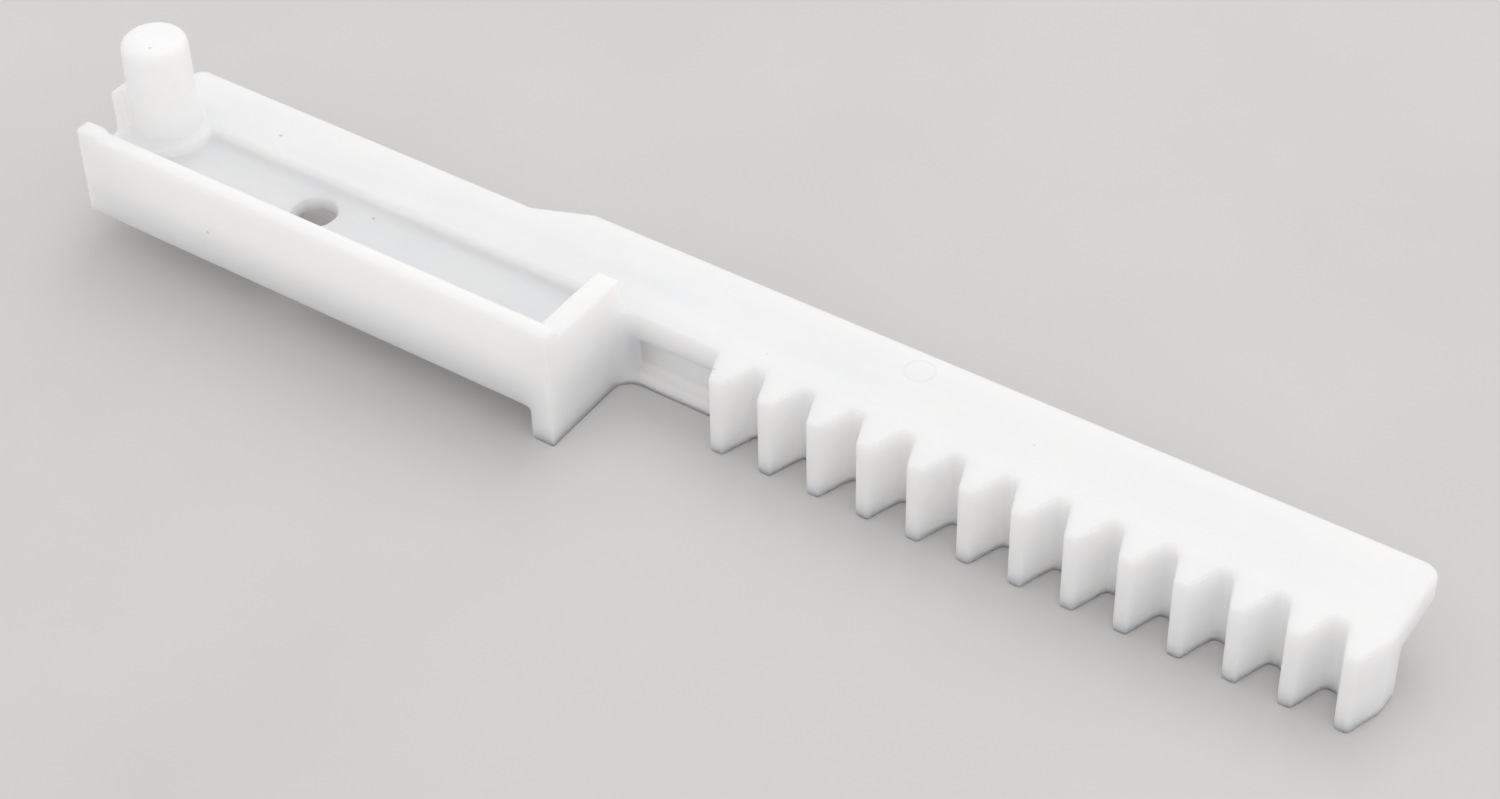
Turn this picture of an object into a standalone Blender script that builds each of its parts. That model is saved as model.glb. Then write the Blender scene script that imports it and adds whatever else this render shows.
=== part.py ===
"""A one-piece moulded acetal gear rack with a shallow tray and an upright drive pin.

Object frame, in millimetres until the last step:
  +X  along the rack, from the pin end to the last tooth
  +Y  from the tooth tips to the straight back edge
  +Z  up, with the tooth undersides on Z = 0
The origin is the middle of the bounding box in X and Y, on the resting plane.

Everything is one moulding, so the script makes one object, "rack".
"""

import math

import bmesh
import bpy

MM = 0.001

# Teeth: a straight-sided basic rack, flanks at the pressure angle.
MODULE = 1.0
TEETH = 13
PRESSURE_ANGLE = math.radians(20.0)
PITCH = math.pi * MODULE
TOOTH_DEPTH = 2.25 * MODULE
TIP_WIDTH = 0.78
FLANK_RUN = TOOTH_DEPTH * math.tan(PRESSURE_ANGLE)

# Overall plan size, from the pin end to the last root and from the tray front to the back edge.
LENGTH = 81.4
WIDTH = 12.66
LEFT_END = -LENGTH / 2
RIGHT_END = LENGTH / 2
TRAY_FRONT = -WIDTH / 2
BACK_EDGE = WIDTH / 2

# The rack's tee section: a tooth-high bar with a wider plate on top of it.
RACK_HEIGHT = 5.34
PLATE_THICKNESS = 1.84
PLATE_UNDERSIDE = RACK_HEIGHT - PLATE_THICKNESS
TIP_LINE = -1.87
ROOT_LINE = TIP_LINE + TOOTH_DEPTH
BAR_BACK = ROOT_LINE + 1.55
PLATE_CORNER_RADIUS = 0.95

# The plate narrows on the tray side through a slanted jog in its back edge.
TRAY_BACK = BACK_EDGE - 1.42
JOG_LEFT = -15.6
JOG_RIGHT = -12.05

# The tray: a tall front wall, an end wall that runs down as a leg, and a recessed floor.
FRONT_WALL_THICKNESS = 1.06
FRONT_WALL_LEFT = LEFT_END + 0.8
FRONT_WALL_BOTTOM = 2.2
FRONT_WALL_TOP = 7.95
WALL_TIP_LENGTH = 1.5
WALL_TIP_TOP = 8.2
WALL_INNER = TRAY_FRONT + FRONT_WALL_THICKNESS
END_WALL_RIGHT = -6.0
END_WALL_THICKNESS = 1.55
END_WALL_LEFT = END_WALL_RIGHT - END_WALL_THICKNESS
END_WALL_TOP = 7.3
END_WALL_BACK = ROOT_LINE + 0.12
STRIP_FRONT = 0.88
FLOOR_TOP = 4.5
FLOOR_THICKNESS = 1.2
FLOOR_UNDERSIDE = FLOOR_TOP - FLOOR_THICKNESS
PLATFORM_RIGHT = LEFT_END + 3.1

# The pin, its round shoulder, the stub beside it and the hole through the floor.
PIN_RADIUS = 2.03
PIN_TOP = 11.45
PIN_X = LEFT_END + PIN_RADIUS
PIN_Y = -0.3
PIN_EDGE_RADIUS = 0.45
PIN_ROOT = 4.0
SHOULDER_RADIUS = 2.7
STUB_LENGTH = 0.5
STUB_FRONT = -2.55
STUB_TOP = 8.2
HOLE_RADIUS = 1.4
HOLE_X = -26.6
HOLE_Y = -1.4

# The toothless stretch next to the end wall: the bar steps back above a low foot.
FOOT_HEIGHT = 0.95
GROOVE_DEPTH = 1.2
GROOVE_BACK = ROOT_LINE + GROOVE_DEPTH
FIRST_ROOT = RIGHT_END - (TEETH - 1) * PITCH - TIP_WIDTH - 2 * FLANK_RUN
CORNER_FILLET = 1.15

# How far parts of the one moulding run into each other before they are joined.
OVERLAP = 0.4
CURVE_STEPS = 32
MERGE = 0.001


def clear_scene():
    for old in list(bpy.data.objects):
        bpy.data.objects.remove(old, do_unlink=True)


def link_mesh(name, body):
    """Makes an object from a finished bmesh, with its faces pointing out."""
    bmesh.ops.recalc_face_normals(body, faces=body.faces)
    mesh = bpy.data.meshes.new(name)
    body.to_mesh(mesh)
    body.free()
    made = bpy.data.objects.new(name, mesh)
    bpy.context.scene.collection.objects.link(made)
    return made


def prism(name, outline, bottom, top):
    """A plan outline extruded straight up from one height to another."""
    body = bmesh.new()
    corners = [body.verts.new((x * MM, y * MM, bottom * MM)) for x, y in outline]
    base = body.faces.new(corners)
    raised = bmesh.ops.extrude_face_region(body, geom=[base], use_keep_orig=True)
    moved = [item for item in raised["geom"] if isinstance(item, bmesh.types.BMVert)]
    bmesh.ops.translate(body, verts=moved, vec=(0.0, 0.0, (top - bottom) * MM))
    return link_mesh(name, body)


def box(name, x_range, y_range, z_range):
    (x0, x1), (y0, y1) = x_range, y_range
    outline = [(x0, y0), (x1, y0), (x1, y1), (x0, y1)]
    return prism(name, outline, z_range[0], z_range[1])


def arc(centre, radius, start, end, steps):
    """Points on a circular arc, both ends included, angles in degrees."""
    points = []
    for i in range(steps + 1):
        angle = math.radians(start + (end - start) * i / steps)
        points.append((centre[0] + radius * math.cos(angle), centre[1] + radius * math.sin(angle)))
    return points


def toothed_bar():
    """The teeth with the bar behind them, as one plan outline."""
    outline = [(FIRST_ROOT - OVERLAP, BAR_BACK), (FIRST_ROOT - OVERLAP, ROOT_LINE)]
    for i in range(TEETH):
        root = FIRST_ROOT + i * PITCH
        outline.append((root, ROOT_LINE))
        outline.append((root + FLANK_RUN, TIP_LINE))
        outline.append((root + FLANK_RUN + TIP_WIDTH, TIP_LINE))
        outline.append((root + 2 * FLANK_RUN + TIP_WIDTH, ROOT_LINE))
    # The last flank ends exactly on the right end, so the end face starts there.
    outline.append((RIGHT_END, BAR_BACK))
    return prism("rack", outline, 0.0, RACK_HEIGHT)


def plate():
    """The top plate of the rack and the strip behind the tray floor, with the jog between."""
    corner = (RIGHT_END - PLATE_CORNER_RADIUS, BACK_EDGE - PLATE_CORNER_RADIUS)
    tray_corner = (LEFT_END + PLATE_CORNER_RADIUS / 2, TRAY_BACK - PLATE_CORNER_RADIUS / 2)
    outline = [(LEFT_END, STRIP_FRONT), (END_WALL_LEFT, STRIP_FRONT)]
    outline += [(END_WALL_LEFT, ROOT_LINE), (RIGHT_END, ROOT_LINE)]
    outline += arc(corner, PLATE_CORNER_RADIUS, 0, 90, CURVE_STEPS // 4)
    outline += [(JOG_RIGHT, BACK_EDGE), (JOG_LEFT, TRAY_BACK)]
    outline += arc(tray_corner, PLATE_CORNER_RADIUS / 2, 90, 180, CURVE_STEPS // 4)
    return prism("plate", outline, PLATE_UNDERSIDE, RACK_HEIGHT)


def front_wall():
    x_range = (FRONT_WALL_LEFT, END_WALL_RIGHT)
    y_range = (TRAY_FRONT, WALL_INNER)
    return box("front_wall", x_range, y_range, (FRONT_WALL_BOTTOM, FRONT_WALL_TOP))


def wall_tip():
    """The slightly taller left end of the front wall."""
    x_range = (FRONT_WALL_LEFT, FRONT_WALL_LEFT + WALL_TIP_LENGTH)
    y_range = (TRAY_FRONT, WALL_INNER)
    return box("wall_tip", x_range, y_range, (FRONT_WALL_TOP - OVERLAP, WALL_TIP_TOP))


def end_wall():
    """The end wall, and the block that ties it to the bar under the plate."""
    x_range = (END_WALL_LEFT, END_WALL_RIGHT)
    wall = box("end_wall", x_range, (TRAY_FRONT, END_WALL_BACK), (0.0, END_WALL_TOP))
    block_y = (END_WALL_BACK - OVERLAP, BAR_BACK)
    block = box("end_block", x_range, block_y, (0.0, PLATE_UNDERSIDE + OVERLAP))
    return [wall, block]


def corner_fillet():
    """The concave fillet where the end wall meets the plain stretch of the rack."""
    centre = (END_WALL_RIGHT + CORNER_FILLET, ROOT_LINE - CORNER_FILLET)
    outline = [(END_WALL_RIGHT - OVERLAP, ROOT_LINE - CORNER_FILLET)]
    outline += arc(centre, CORNER_FILLET, 180, 90, CURVE_STEPS // 4)
    outline += [(END_WALL_RIGHT + CORNER_FILLET, ROOT_LINE + OVERLAP)]
    outline += [(END_WALL_RIGHT - OVERLAP, ROOT_LINE + OVERLAP)]
    return prism("corner_fillet", outline, 0.0, RACK_HEIGHT)


def floor():
    x_range = (LEFT_END, END_WALL_LEFT + OVERLAP)
    y_range = (WALL_INNER - OVERLAP, STRIP_FRONT + OVERLAP)
    return box("floor", x_range, y_range, (FLOOR_UNDERSIDE, FLOOR_TOP))


def floor_end_notch():
    """Trims the floor beyond the end of the front wall."""
    x_range = (LEFT_END - OVERLAP, FRONT_WALL_LEFT)
    y_range = (TRAY_FRONT - OVERLAP, WALL_INNER)
    return box("floor_end_notch", x_range, y_range, (0.0, FRONT_WALL_TOP))


def platform():
    x_range = (LEFT_END, PLATFORM_RIGHT)
    y_range = (WALL_INNER - OVERLAP, STRIP_FRONT + OVERLAP)
    return box("platform", x_range, y_range, (FLOOR_UNDERSIDE, RACK_HEIGHT))


def shoulder():
    """The round shoulder under the pin, standing out from the platform into the recess."""
    outline = arc((PIN_X, PIN_Y), SHOULDER_RADIUS, -90, 90, CURVE_STEPS)
    return prism("shoulder", outline, PIN_ROOT, RACK_HEIGHT)


def pin():
    """The upright pin: a turned profile with a rounded top edge, spun round its own axis."""
    body = bmesh.new()
    profile = [(0.0, PIN_ROOT), (PIN_RADIUS, PIN_ROOT)]
    edge_centre = (PIN_RADIUS - PIN_EDGE_RADIUS, PIN_TOP - PIN_EDGE_RADIUS)
    profile += arc(edge_centre, PIN_EDGE_RADIUS, 0, 90, 4)
    profile.append((0.0, PIN_TOP))
    points = [body.verts.new((r * MM, 0.0, z * MM)) for r, z in profile]
    lines = [body.edges.new(pair) for pair in zip(points, points[1:])]
    bmesh.ops.spin(
        body,
        geom=points + lines,
        cent=(0.0, 0.0, 0.0),
        axis=(0.0, 0.0, 1.0),
        angle=2 * math.pi,
        steps=CURVE_STEPS,
    )
    bmesh.ops.remove_doubles(body, verts=body.verts, dist=MERGE * MM)
    bmesh.ops.translate(body, verts=body.verts, vec=(PIN_X * MM, PIN_Y * MM, 0.0))
    return link_mesh("pin", body)


def stub():
    """The short upright rib that runs into the side of the pin."""
    x_range = (LEFT_END, LEFT_END + STUB_LENGTH)
    return box("stub", x_range, (STUB_FRONT, PIN_Y - PIN_RADIUS / 2), (PIN_ROOT, STUB_TOP))


def floor_hole():
    outline = arc((HOLE_X, HOLE_Y), HOLE_RADIUS, 0, 360, CURVE_STEPS)[:-1]
    return prism("floor_hole", outline, FLOOR_UNDERSIDE - OVERLAP, FLOOR_TOP + OVERLAP)


def grooved_bar():
    """The plain stretch between end wall and first tooth: a low foot with the bar set back."""
    x_range = (END_WALL_RIGHT - OVERLAP, FIRST_ROOT)
    bar_range = (GROOVE_BACK, GROOVE_BACK + GROOVE_DEPTH)
    bar = box("set_back_bar", x_range, bar_range, (0.0, PLATE_UNDERSIDE + OVERLAP))
    foot_range = (ROOT_LINE, GROOVE_BACK + OVERLAP)
    foot = box("foot", x_range, foot_range, (0.0, FOOT_HEIGHT))
    return [bar, foot]


def combine(target, tool, operation):
    """Bakes one exact Boolean into the target and removes the tool."""
    step = target.modifiers.new(tool.name, "BOOLEAN")
    step.operation = operation
    step.solver = "EXACT"
    step.object = tool
    graph = bpy.context.evaluated_depsgraph_get()
    baked = bpy.data.meshes.new_from_object(target.evaluated_get(graph))
    target.modifiers.clear()
    target.data = baked
    bpy.data.objects.remove(tool, do_unlink=True)


def white_acetal():
    material = bpy.data.materials.new("white_acetal")
    material.use_nodes = True
    shader = material.node_tree.nodes["Principled BSDF"]
    shader.inputs["Base Color"].default_value = (0.87, 0.87, 0.86, 1.0)
    shader.inputs["Roughness"].default_value = 0.42
    shader.inputs["IOR"].default_value = 1.48
    return material


def build():
    clear_scene()
    rack = toothed_bar()
    additions = [plate(), corner_fillet(), front_wall(), wall_tip(), floor(), platform()]
    additions += [shoulder(), pin(), stub()]
    additions += end_wall()
    additions += grooved_bar()
    for addition in additions:
        combine(rack, addition, "UNION")
    for cutter in [floor_end_notch(), floor_hole()]:
        combine(rack, cutter, "DIFFERENCE")
    rack.name = "rack"
    rack.data.name = "rack"
    rack.data.materials.clear()
    rack.data.materials.append(white_acetal())
    rack.data.shade_smooth()
    rack.data.set_sharp_from_angle(angle=math.radians(30))


build()
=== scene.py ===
"""The looks of the moulded acetal gear rack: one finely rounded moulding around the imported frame.

Shapes are worked out in millimetres in the frame's own axes (+X towards the last tooth, +Y towards
the straight back edge, +Z up) and scaled to metres once, when the finished mesh is made.
"""

import math

import bmesh
import bpy
from mathutils import Matrix, Vector


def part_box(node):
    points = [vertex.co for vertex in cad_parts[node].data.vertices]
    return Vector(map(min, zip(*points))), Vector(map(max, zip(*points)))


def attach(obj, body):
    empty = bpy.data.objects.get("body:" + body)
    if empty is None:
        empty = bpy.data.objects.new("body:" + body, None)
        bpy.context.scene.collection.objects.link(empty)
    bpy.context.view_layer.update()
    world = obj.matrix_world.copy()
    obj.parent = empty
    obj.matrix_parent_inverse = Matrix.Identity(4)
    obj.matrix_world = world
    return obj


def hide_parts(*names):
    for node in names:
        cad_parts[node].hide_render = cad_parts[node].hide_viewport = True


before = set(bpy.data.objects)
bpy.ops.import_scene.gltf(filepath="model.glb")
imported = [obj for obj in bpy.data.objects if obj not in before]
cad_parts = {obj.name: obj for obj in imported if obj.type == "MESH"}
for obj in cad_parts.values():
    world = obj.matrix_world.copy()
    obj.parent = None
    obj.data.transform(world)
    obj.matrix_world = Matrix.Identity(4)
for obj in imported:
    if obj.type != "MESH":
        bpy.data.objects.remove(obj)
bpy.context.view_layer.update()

MM = 0.001

# The CAD box gives both ends, both sides, the base and the top of the pin.
LEFT_END, TRAY_FRONT, BASE = (round(value / MM, 3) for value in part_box("rack")[0])
RIGHT_END, BACK_EDGE, PIN_TOP = (round(value / MM, 3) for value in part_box("rack")[1])

# Teeth: a straight-sided basic rack.
MODULE = 1.0
TEETH = 13
PITCH = math.pi * MODULE
TOOTH_DEPTH = 2.25 * MODULE
PRESSURE_ANGLE = math.radians(20.0)
TIP_WIDTH = 0.78
FLANK_RUN = TOOTH_DEPTH * math.tan(PRESSURE_ANGLE)
ROOT_FILLET = 0.22

# The tee section: a bar as tall as the teeth, with a wider plate on top.
RACK_HEIGHT = 5.34
PLATE_UNDERSIDE = 3.5
TIPS_SET_BACK = 4.46
BAR_DEPTH = 1.55
TIP_LINE = TRAY_FRONT + TIPS_SET_BACK
ROOT_LINE = TIP_LINE + TOOTH_DEPTH
BAR_BACK = ROOT_LINE + BAR_DEPTH
PLATE_CORNER = 0.95

# The plate narrows behind the tray through a slanted jog.
JOG_DEPTH = 1.42
TRAY_BACK = BACK_EDGE - JOG_DEPTH
TRAY_CORNER = 0.7
JOG_LEFT = -15.6
JOG_RIGHT = -12.05
JOG_CORNER = 1.0

# The tray: a tall front wall, an end wall that runs down as a leg, and a recessed floor.
WALL_THICKNESS = 1.06
WALL_SET_IN = 0.8
WALL_INNER = TRAY_FRONT + WALL_THICKNESS
WALL_LEFT = LEFT_END + WALL_SET_IN
WALL_BOTTOM = 2.2
WALL_TOP = 7.95
WALL_TIP_LENGTH = 1.5
WALL_TIP_TOP = 8.2
END_WALL_RIGHT = -6.0
END_WALL_THICKNESS = 1.55
END_WALL_PAST_ROOTS = 0.12
END_WALL_LEFT = END_WALL_RIGHT - END_WALL_THICKNESS
END_WALL_BACK = ROOT_LINE + END_WALL_PAST_ROOTS
END_WALL_TOP = 7.3
STRIP_FRONT = 0.88
FLOOR_TOP = 4.5
FLOOR_UNDERSIDE = 3.3
PLATFORM_LENGTH = 3.1
PLATFORM_RIGHT = LEFT_END + PLATFORM_LENGTH

# The pin with its shoulder, the stub beside it, and the hole in the floor.
PIN_RADIUS = 2.03
PIN_Y = -0.3
PIN_CENTRE = (LEFT_END + PIN_RADIUS, PIN_Y)
PIN_EDGE = 0.5
PIN_DRAFT = 0.05
SHOULDER_RADIUS = 2.7
STUB_LENGTH = 0.5
STUB_FRONT = -2.55
STUB_TOP = 8.2
HOLE_CENTRE = (-26.6, -1.4)
HOLE_RADIUS = 1.4

# The plain stretch beside the end wall: the bar steps back above a low foot.
FOOT_HEIGHT = 0.95
GROOVE_DEPTH = 1.2
FIRST_ROOT = RIGHT_END - (TEETH - 1) * PITCH - TIP_WIDTH - 2 * FLANK_RUN
CORNER_FILLET = 1.15

# The skin: remeshed finely, then relaxed, which rounds every moulded edge and corner a little.
SKIN_STEP = 0.14
SKIN_RELAX = 0.5
SKIN_PASSES = 8

# How far shapes run into each other before they are joined into one moulding.
OVERLAP = 0.4
# Decimals kept in a plan outline, so that faces meant to be flush are exactly flush when joined.
OUTLINE_DECIMALS = 4
# Points of a turned solid closer than this become one, on its axis and where its turn closes.
TURNED_MERGE = 0.0005
ARC_STEPS = 8
ROUND_STEPS = 64


# ---------------------------------------------------------------- solids


def link_mesh(name, body):
    """Makes an object from a finished bmesh, with its faces pointing out."""
    bmesh.ops.recalc_face_normals(body, faces=body.faces)
    mesh = bpy.data.meshes.new(name)
    body.to_mesh(mesh)
    body.free()
    made = bpy.data.objects.new(name, mesh)
    bpy.context.scene.collection.objects.link(made)
    return made


def arc(centre, radius, start, end, steps):
    """Points on an arc, both ends included, angles in degrees."""
    points = []
    for i in range(steps + 1):
        angle = math.radians(start + (end - start) * i / steps)
        points.append((centre[0] + radius * math.cos(angle), centre[1] + radius * math.sin(angle)))
    return points


def rounded(corners):
    """An outline from (x, y, radius) corners, each corner replaced by its arc."""
    outline = []
    for i, (x, y, radius) in enumerate(corners):
        here = Vector((x, y))
        if radius == 0:
            outline.append((x, y))
            continue
        back = (Vector(corners[i - 1][:2]) - here).normalized()
        ahead = (Vector(corners[(i + 1) % len(corners)][:2]) - here).normalized()
        half = back.angle(ahead) / 2
        centre = here + (back + ahead).normalized() * radius / math.sin(half)
        first = here + back * radius / math.tan(half) - centre
        last = here + ahead * radius / math.tan(half) - centre
        turn = first.angle_signed(last)
        for step in range(ARC_STEPS + 1):
            swing = Matrix.Rotation(-turn * step / ARC_STEPS, 2)
            outline.append(tuple(centre + swing @ first))
    return outline


def prism(name, outline, bottom, top):
    """A plan outline extruded straight up."""
    body = bmesh.new()
    corners = []
    for x, y in outline:
        place = (round(x, OUTLINE_DECIMALS), round(y, OUTLINE_DECIMALS), bottom)
        corners.append(body.verts.new(place))
    base = body.faces.new(corners)
    raised = bmesh.ops.extrude_face_region(body, geom=[base], use_keep_orig=True)
    moved = [item for item in raised["geom"] if isinstance(item, bmesh.types.BMVert)]
    bmesh.ops.translate(body, verts=moved, vec=(0.0, 0.0, top - bottom))
    return link_mesh(name, body)


def box(name, x_range, y_range, z_range):
    (x0, x1), (y0, y1) = x_range, y_range
    return prism(name, [(x0, y0), (x1, y0), (x1, y1), (x0, y1)], z_range[0], z_range[1])


def turned(name, profile, centre):
    """A closed solid spun from (radius, height) points that start and end on its axis."""
    body = bmesh.new()
    points = [body.verts.new((r, 0.0, z)) for r, z in profile]
    lines = [body.edges.new(pair) for pair in zip(points, points[1:])]
    bmesh.ops.spin(
        body,
        geom=points + lines,
        cent=(0.0, 0.0, 0.0),
        axis=(0.0, 0.0, 1.0),
        angle=2 * math.pi,
        steps=ROUND_STEPS,
    )
    bmesh.ops.remove_doubles(body, verts=body.verts, dist=TURNED_MERGE)
    bmesh.ops.translate(body, verts=body.verts, vec=(centre[0], centre[1], 0.0))
    return link_mesh(name, body)


def toothed_bar():
    """The teeth with the bar behind them. The outermost root on each side stays sharp."""
    outline = [(FIRST_ROOT - OVERLAP, BAR_BACK, 0), (FIRST_ROOT - OVERLAP, ROOT_LINE, 0)]
    for i in range(TEETH):
        root = FIRST_ROOT + i * PITCH
        outline.append((root, ROOT_LINE, ROOT_FILLET if i else 0))
        outline.append((root + FLANK_RUN, TIP_LINE, 0))
        outline.append((root + FLANK_RUN + TIP_WIDTH, TIP_LINE, 0))
        last = i == TEETH - 1
        outline.append((root + 2 * FLANK_RUN + TIP_WIDTH, ROOT_LINE, 0 if last else ROOT_FILLET))
    outline.append((RIGHT_END, BAR_BACK, 0))
    return prism("rack_moulding", rounded(outline), BASE, RACK_HEIGHT)


def plate():
    """The top plate of the rack and the strip behind the tray floor, with the jog between."""
    outline = [(LEFT_END, STRIP_FRONT, 0), (END_WALL_LEFT, STRIP_FRONT, 0)]
    outline += [(END_WALL_LEFT, ROOT_LINE, 0), (RIGHT_END, ROOT_LINE, 0)]
    outline += [(RIGHT_END, BACK_EDGE, PLATE_CORNER), (JOG_RIGHT, BACK_EDGE, JOG_CORNER)]
    outline += [(JOG_LEFT, TRAY_BACK, JOG_CORNER), (LEFT_END, TRAY_BACK, TRAY_CORNER)]
    return prism("plate", rounded(outline), PLATE_UNDERSIDE, RACK_HEIGHT)


def tray():
    """Front wall, end wall, floor and platform."""
    floor_y = (WALL_INNER - OVERLAP, STRIP_FRONT + OVERLAP)
    floor_z = (FLOOR_UNDERSIDE, FLOOR_TOP)
    end_x = (END_WALL_LEFT, END_WALL_RIGHT)
    block_y = (END_WALL_BACK - OVERLAP, BAR_BACK)
    wall_x = (WALL_LEFT, END_WALL_RIGHT)
    wall_y = (TRAY_FRONT, WALL_INNER)
    tip_x = (WALL_LEFT, WALL_LEFT + WALL_TIP_LENGTH)
    return [
        box("end_wall", end_x, (TRAY_FRONT, END_WALL_BACK), (BASE, END_WALL_TOP)),
        box("end_block", end_x, block_y, (BASE, PLATE_UNDERSIDE + OVERLAP)),
        box("front_wall", wall_x, wall_y, (WALL_BOTTOM, WALL_TOP)),
        box("wall_tip", tip_x, wall_y, (WALL_TOP - OVERLAP, WALL_TIP_TOP)),
        box("floor", (LEFT_END, END_WALL_LEFT + OVERLAP), floor_y, floor_z),
        box("platform", (LEFT_END, PLATFORM_RIGHT), floor_y, (FLOOR_UNDERSIDE, RACK_HEIGHT)),
    ]


def corner_fillet():
    """The concave fillet where the end wall meets the plain stretch of the rack."""
    centre = (END_WALL_RIGHT + CORNER_FILLET, ROOT_LINE - CORNER_FILLET)
    outline = [(END_WALL_RIGHT - OVERLAP, ROOT_LINE - CORNER_FILLET)]
    outline += arc(centre, CORNER_FILLET, 180, 90, 2 * ARC_STEPS)
    outline += [(END_WALL_RIGHT + CORNER_FILLET, ROOT_LINE + OVERLAP)]
    outline += [(END_WALL_RIGHT - OVERLAP, ROOT_LINE + OVERLAP)]
    return prism("corner_fillet", outline, BASE, RACK_HEIGHT)


def grooved_bar():
    """The set-back bar and the low foot between the end wall and the first tooth."""
    x_range = (END_WALL_RIGHT - OVERLAP, FIRST_ROOT)
    groove_back = ROOT_LINE + GROOVE_DEPTH
    bar_y = (groove_back, groove_back + GROOVE_DEPTH)
    return [
        box("set_back_bar", x_range, bar_y, (BASE, PLATE_UNDERSIDE + OVERLAP)),
        box("foot", x_range, (ROOT_LINE, groove_back + OVERLAP), (BASE, FOOT_HEIGHT)),
    ]


def shoulder():
    """The round shoulder under the pin, standing out from the platform into the recess."""
    outline = arc(PIN_CENTRE, SHOULDER_RADIUS, -90, 90, ROUND_STEPS // 2)
    return prism("shoulder", outline, FLOOR_UNDERSIDE + OVERLAP, RACK_HEIGHT)


def stub():
    """The short upright rib that runs into the side of the pin."""
    x_range = (LEFT_END, LEFT_END + STUB_LENGTH)
    y_range = (STUB_FRONT, PIN_CENTRE[1] - PIN_RADIUS / 2)
    return box("stub", x_range, y_range, (FLOOR_UNDERSIDE + OVERLAP, STUB_TOP))


def pin():
    """The pin's turned profile, with a slight draft and a rounded top edge."""
    top_radius = PIN_RADIUS - PIN_DRAFT
    edge_centre = (top_radius - PIN_EDGE, PIN_TOP - PIN_EDGE)
    profile = [(0.0, RACK_HEIGHT - OVERLAP), (PIN_RADIUS, RACK_HEIGHT - OVERLAP)]
    profile += arc(edge_centre, PIN_EDGE, 0, 90, ARC_STEPS)
    profile.append((0.0, PIN_TOP))
    return turned("pin", profile, PIN_CENTRE)


def cutters():
    """What is taken away: the floor past the front wall, and the hole."""
    notch_y = (TRAY_FRONT - OVERLAP, WALL_INNER)
    hole = arc(HOLE_CENTRE, HOLE_RADIUS, 0, 360, ROUND_STEPS)[:-1]
    return [
        box("floor_notch", (LEFT_END - OVERLAP, WALL_LEFT), notch_y, (BASE, WALL_TIP_TOP)),
        prism("floor_hole", hole, FLOOR_UNDERSIDE - OVERLAP, FLOOR_TOP + OVERLAP),
    ]


def combine(target, tools, operation):
    """Joins or cuts with all the tools in one exact step, then removes them."""
    group = bpy.data.collections.new("tools")
    bpy.context.scene.collection.children.link(group)
    for tool in tools:
        group.objects.link(tool)
    step = target.modifiers.new("combine", "BOOLEAN")
    step.operation = operation
    step.solver = "EXACT"
    step.operand_type = "COLLECTION"
    step.collection = group
    bake_modifiers(target)
    for tool in tools:
        bpy.data.objects.remove(tool, do_unlink=True)
    bpy.data.collections.remove(group)


def bake_modifiers(target):
    """Makes the result of the target's modifiers its own mesh."""
    graph = bpy.context.evaluated_depsgraph_get()
    baked = bpy.data.meshes.new_from_object(target.evaluated_get(graph))
    target.modifiers.clear()
    target.data = baked


def grow_skin(target):
    """Swaps the flat-faced solid for a fine, evenly meshed skin with softly rounded edges."""
    skin = target.modifiers.new("skin", "REMESH")
    skin.mode = "VOXEL"
    skin.voxel_size = SKIN_STEP
    relax = target.modifiers.new("relax", "SMOOTH")
    relax.factor = SKIN_RELAX
    relax.iterations = SKIN_PASSES
    bake_modifiers(target)


def rack_moulding():
    rack = toothed_bar()
    additions = [plate(), *tray(), corner_fillet(), *grooved_bar(), shoulder(), stub(), pin()]
    combine(rack, additions, "UNION")
    combine(rack, cutters(), "DIFFERENCE")
    grow_skin(rack)
    rack.data.transform(Matrix.Scale(MM, 4))
    rack.data.shade_smooth()
    return rack


# ---------------------------------------------------------------- materials


CLEAR = (1.0, 1.0, 1.0)

# The plastic. Scales count features per metre, and a span is (where it starts, where it ends).
MIDTONES = (0.3, 0.7)
CLOUD_SCALE = 170.0
CLOUD_COLOURS = ((0.875, 0.885, 0.9), (0.93, 0.925, 0.915))
STREAK_SCALE = 900.0
STREAK_STRETCH = (0.12, 1.0, 1.0)
STREAK_COLOUR = (0.972, 0.974, 0.976)
STREAK_SPAN = (0.25, 0.75)
STREAK_ROUGHNESS = (0.36, 0.5)
STREAK_DEPTH = 0.03 * MM
GRAIN_SCALE = 5200.0
GRAIN_DEPTH = 0.02 * MM
SPECK_CELLS = 210.0
SPECK_EDGE = (0.014, 0.03)
SPECK_COLOUR = (0.66, 0.65, 0.63)
PLASTIC_IOR = 1.48
SCATTER_REACH = 0.005
SCATTER_COLOUR = (1.0, 0.93, 0.86)

# The print of an ejector pin: a ring that peaks at 0.7 of its reach.
EJECTOR_MARK = Vector((10.7, 4.85, RACK_HEIGHT)) * MM
EJECTOR_MARK_REACH = 1.2 * MM
EJECTOR_RING = (0.6, 0.7, 0.8)
EJECTOR_COLOUR = (0.93, 0.93, 0.93)
EJECTOR_DEPTH = 0.05 * MM

# The floor.
MOTTLE_SCALE = 40.0
MOTTLE_COLOURS = ((0.6, 0.592, 0.588), (0.64, 0.632, 0.628))
MOTTLE_ROUGHNESS = (0.5, 0.62)
FLOOR_GRAIN_SCALE = 2500.0
FLOOR_GRAIN_DEPTH = 0.03 * MM


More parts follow.
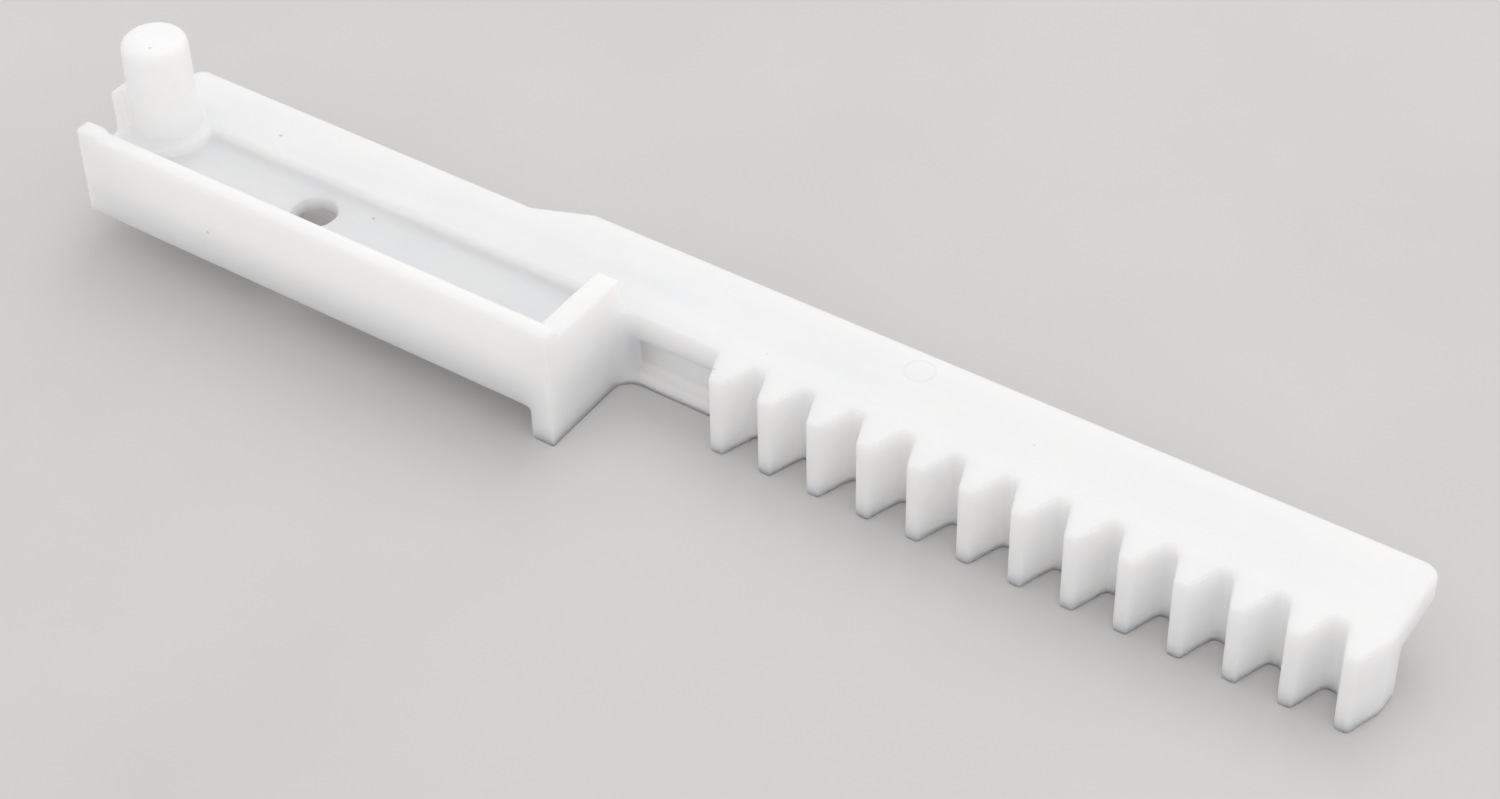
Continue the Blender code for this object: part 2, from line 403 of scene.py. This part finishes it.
class Shader:
    """A Principled material with short calls for the nodes that feed it."""

    def __init__(self, name):
        self.material = bpy.data.materials.new(name)
        self.material.use_nodes = True
        self.tree = self.material.node_tree
        self.surface = self.tree.nodes["Principled BSDF"]
        self.place = self.tree.nodes.new("ShaderNodeTexCoord").outputs["Object"]

    def link(self, source, target):
        self.tree.links.new(source, target)

    def stretched(self, scale):
        """Object coordinates with each axis scaled on its own."""
        mapping = self.tree.nodes.new("ShaderNodeMapping")
        mapping.inputs["Scale"].default_value = scale
        self.link(self.place, mapping.inputs["Vector"])
        return mapping.outputs["Vector"]

    def noise(self, vector, scale, detail):
        node = self.tree.nodes.new("ShaderNodeTexNoise")
        node.inputs["Scale"].default_value = scale
        node.inputs["Detail"].default_value = detail
        self.link(vector, node.inputs["Vector"])
        return node.outputs["Fac"]

    def ramp(self, source, stops):
        """A colour ramp through (place, colour) stops."""
        node = self.tree.nodes.new("ShaderNodeValToRGB")
        elements = node.color_ramp.elements
        while len(elements) < len(stops):
            elements.new(0.5)
        for element, (place, colour) in zip(elements, stops):
            element.position = place
            element.color = (*colour, 1.0)
        self.link(source, node.inputs["Fac"])
        return node.outputs["Color"]

    def remap(self, source, inside, outside):
        """The source's values from one range, moved to another."""
        node = self.tree.nodes.new("ShaderNodeMapRange")
        node.inputs["From Min"].default_value = inside[0]
        node.inputs["From Max"].default_value = inside[1]
        node.inputs["To Min"].default_value = outside[0]
        node.inputs["To Max"].default_value = outside[1]
        self.link(source, node.inputs["Value"])
        return node.outputs["Result"]

    def multiply(self, first, second):
        node = self.tree.nodes.new("ShaderNodeMix")
        node.data_type = "RGBA"
        node.blend_type = "MULTIPLY"
        node.inputs["Factor"].default_value = 1.0
        self.link(first, node.inputs["A"])
        self.link(second, node.inputs["B"])
        return node.outputs["Result"]

    def bump(self, height, distance, strength, under=None):
        node = self.tree.nodes.new("ShaderNodeBump")
        node.inputs["Distance"].default_value = distance
        node.inputs["Strength"].default_value = strength
        self.link(height, node.inputs["Height"])
        if under:
            self.link(under, node.inputs["Normal"])
        return node.outputs["Normal"]


def ejector_ring(shader):
    """The faint round print of an ejector pin, as a band at one distance from its centre."""
    distance = shader.tree.nodes.new("ShaderNodeVectorMath")
    distance.operation = "DISTANCE"
    distance.inputs[1].default_value = EJECTOR_MARK
    shader.link(shader.place, distance.inputs[0])
    reach = shader.remap(distance.outputs["Value"], (0.0, EJECTOR_MARK_REACH), (0.0, 1.0))
    inner, middle, outer = EJECTOR_RING
    return shader.ramp(reach, [(inner, CLEAR), (middle, EJECTOR_COLOUR), (outer, CLEAR)])


def specks(shader):
    """A few fine dark inclusions, where the middle of a cell happens to lie on the surface."""
    cells = shader.tree.nodes.new("ShaderNodeTexVoronoi")
    cells.inputs["Scale"].default_value = SPECK_CELLS
    shader.link(shader.place, cells.inputs["Vector"])
    dot = shader.remap(cells.outputs["Distance"], SPECK_EDGE, (0.0, 1.0))
    return shader.ramp(dot, [(0.0, SPECK_COLOUR), (1.0, CLEAR)])


def white_acetal():
    """Translucent white moulding: cloudy colour, flow streaks, specks, and a fine satin grain."""
    shader = Shader("white_acetal")
    cloud = shader.noise(shader.place, CLOUD_SCALE, 4.0)
    streaks = shader.noise(shader.stretched(STREAK_STRETCH), STREAK_SCALE, 3.0)
    grain = shader.noise(shader.place, GRAIN_SCALE, 3.0)
    tint = shader.ramp(cloud, list(zip(MIDTONES, CLOUD_COLOURS)))
    flow = shader.ramp(streaks, list(zip(MIDTONES, (STREAK_COLOUR, CLEAR))))
    colour = shader.multiply(shader.multiply(tint, flow), specks(shader))
    ring = ejector_ring(shader)
    shader.link(shader.multiply(colour, ring), shader.surface.inputs["Base Color"])
    roughness = shader.remap(streaks, STREAK_SPAN, STREAK_ROUGHNESS)
    shader.link(roughness, shader.surface.inputs["Roughness"])
    relief = shader.bump(grain, GRAIN_DEPTH, 0.35)
    relief = shader.bump(streaks, STREAK_DEPTH, 0.25, relief)
    relief = shader.bump(ring, EJECTOR_DEPTH, 0.6, relief)
    shader.link(relief, shader.surface.inputs["Normal"])
    shader.surface.inputs["IOR"].default_value = PLASTIC_IOR
    shader.surface.inputs["Subsurface Weight"].default_value = 1.0
    shader.surface.inputs["Subsurface Scale"].default_value = SCATTER_REACH
    shader.surface.inputs["Subsurface Radius"].default_value = SCATTER_COLOUR
    return shader.material


def floor_material():
    """A pale matt table top with a very soft mottle."""
    shader = Shader("studio_floor")
    mottle = shader.noise(shader.place, MOTTLE_SCALE, 5.0)
    grain = shader.noise(shader.place, FLOOR_GRAIN_SCALE, 2.0)
    tint = shader.ramp(mottle, list(zip(MIDTONES, MOTTLE_COLOURS)))
    shader.link(tint, shader.surface.inputs["Base Color"])
    roughness = shader.remap(mottle, MIDTONES, MOTTLE_ROUGHNESS)
    shader.link(roughness, shader.surface.inputs["Roughness"])
    relief = shader.bump(grain, FLOOR_GRAIN_DEPTH, 0.2)
    shader.link(relief, shader.surface.inputs["Normal"])
    return shader.material


# ---------------------------------------------------------------- stage


# How far the floor runs out from the rack, in metres.
FLOOR_REACH = 3.0


def studio_floor():
    body = bmesh.new()
    bmesh.ops.create_grid(body, x_segments=1, y_segments=1, size=FLOOR_REACH)
    plane = link_mesh("studio_floor", body)
    plane.data.materials.append(floor_material())


CAMERA_TARGET = Vector((0.9, 2.85, 0.0)) * MM
CAMERA_AZIMUTH = math.radians(34.43)
CAMERA_ELEVATION = math.radians(42.0)
CAMERA_ROLL = math.radians(-1.085)
CAMERA_DISTANCE = 176.0 * MM
LENS = 75.29
SENSOR_WIDTH = 36.0


def camera():
    """Looks at the target from the given direction and distance, rolled a little about its view."""
    data = bpy.data.cameras.new("camera")
    data.lens = LENS
    data.sensor_width = SENSOR_WIDTH
    data.clip_start = 0.01
    made = bpy.data.objects.new("camera", data)
    bpy.context.scene.collection.objects.link(made)
    turn = Matrix.Rotation(CAMERA_AZIMUTH, 4, "Z")
    tilt = Matrix.Rotation(math.pi / 2 - CAMERA_ELEVATION, 4, "X")
    roll = Matrix.Rotation(CAMERA_ROLL, 4, "Z")
    back = Matrix.Translation((0.0, 0.0, CAMERA_DISTANCE))
    made.matrix_world = Matrix.Translation(CAMERA_TARGET) @ turn @ tilt @ roll @ back
    bpy.context.scene.camera = made


# Lengths in metres and power in watts.
OVERHEAD_PLACE = Vector((-0.05, 0.32, 0.5))
OVERHEAD_SIZE = 0.35
OVERHEAD_POWER = 0.55
WORLD_COLOUR = (1.0, 0.99, 0.98, 1.0)
WORLD_STRENGTH = 0.92


def overhead_light():
    """A weak, wide light from above and behind, turned towards the origin."""
    data = bpy.data.lights.new("overhead", "AREA")
    data.energy = OVERHEAD_POWER
    data.size = OVERHEAD_SIZE
    made = bpy.data.objects.new("overhead", data)
    bpy.context.scene.collection.objects.link(made)
    made.location = OVERHEAD_PLACE
    made.rotation_euler = (-OVERHEAD_PLACE).to_track_quat("-Z", "Y").to_euler()


def world_light():
    """The even, soft light from all round that does most of the lighting."""
    world = bpy.data.worlds.new("studio")
    world.use_nodes = True
    background = world.node_tree.nodes["Background"]
    background.inputs["Color"].default_value = WORLD_COLOUR
    background.inputs["Strength"].default_value = WORLD_STRENGTH
    bpy.context.scene.world = world


rack = rack_moulding()
rack.data.materials.clear()
rack.data.materials.append(white_acetal())
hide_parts("rack")
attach(rack, "root")
studio_floor()
camera()
overhead_light()
world_light()
bpy.context.scene.view_settings.view_transform = "Standard"
